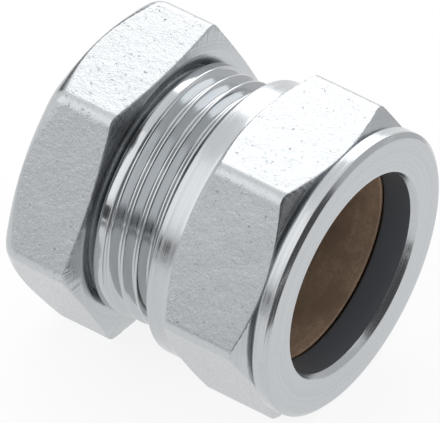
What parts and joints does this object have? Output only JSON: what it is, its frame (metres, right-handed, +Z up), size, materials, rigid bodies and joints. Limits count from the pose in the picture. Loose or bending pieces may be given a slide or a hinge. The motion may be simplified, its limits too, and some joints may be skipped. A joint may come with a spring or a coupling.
{
  "type": "compression pipe stop end",
  "caption": "Chromed compression stop end that closes a 22 mm pipe: closed hexagon body, hexagon nut and brass ring.",
  "frame": {"origin": "on the fitting's axis, at the step inside the body where the pipe's end comes to rest", "axes": "+X along the axis, out of the open mouth; +Z up, square to the body's top flat; the part lies on its lower flat"},
  "size_m": [0.0321, 0.0356, 0.0318],
  "materials": {
    "chrome_body": "bright chromium plate on forged flats and turned faces",
    "chrome_nut": "bright chromium plate on forged flats and turned faces",
    "ring_brass": "plain turned brass, slightly dulled"
  },
  "bodies": {
    "stop_end": {"stop_end_body": "chrome_body"},
    "ring": {"compression_ring": "ring_brass"},
    "nut": {"compression_nut": "chrome_nut"}
  },
  "joints": [
    {"name": "nut_travel", "type": "slide", "parent": "stop_end", "child": "ring", "axis": [1, 0, 0], "range_m": [0, 0.007]},
    {"name": "nut_turn", "type": "hinge", "parent": "ring", "child": "nut", "pos_m": [0, 0, 0], "axis": [1, 0, 0], "range_deg": [0, 1440]}
  ],
  "couplings": [
    {"joint": "nut_travel", "follows": "nut_turn", "m_per_rad": 0.00027852}
  ]
}
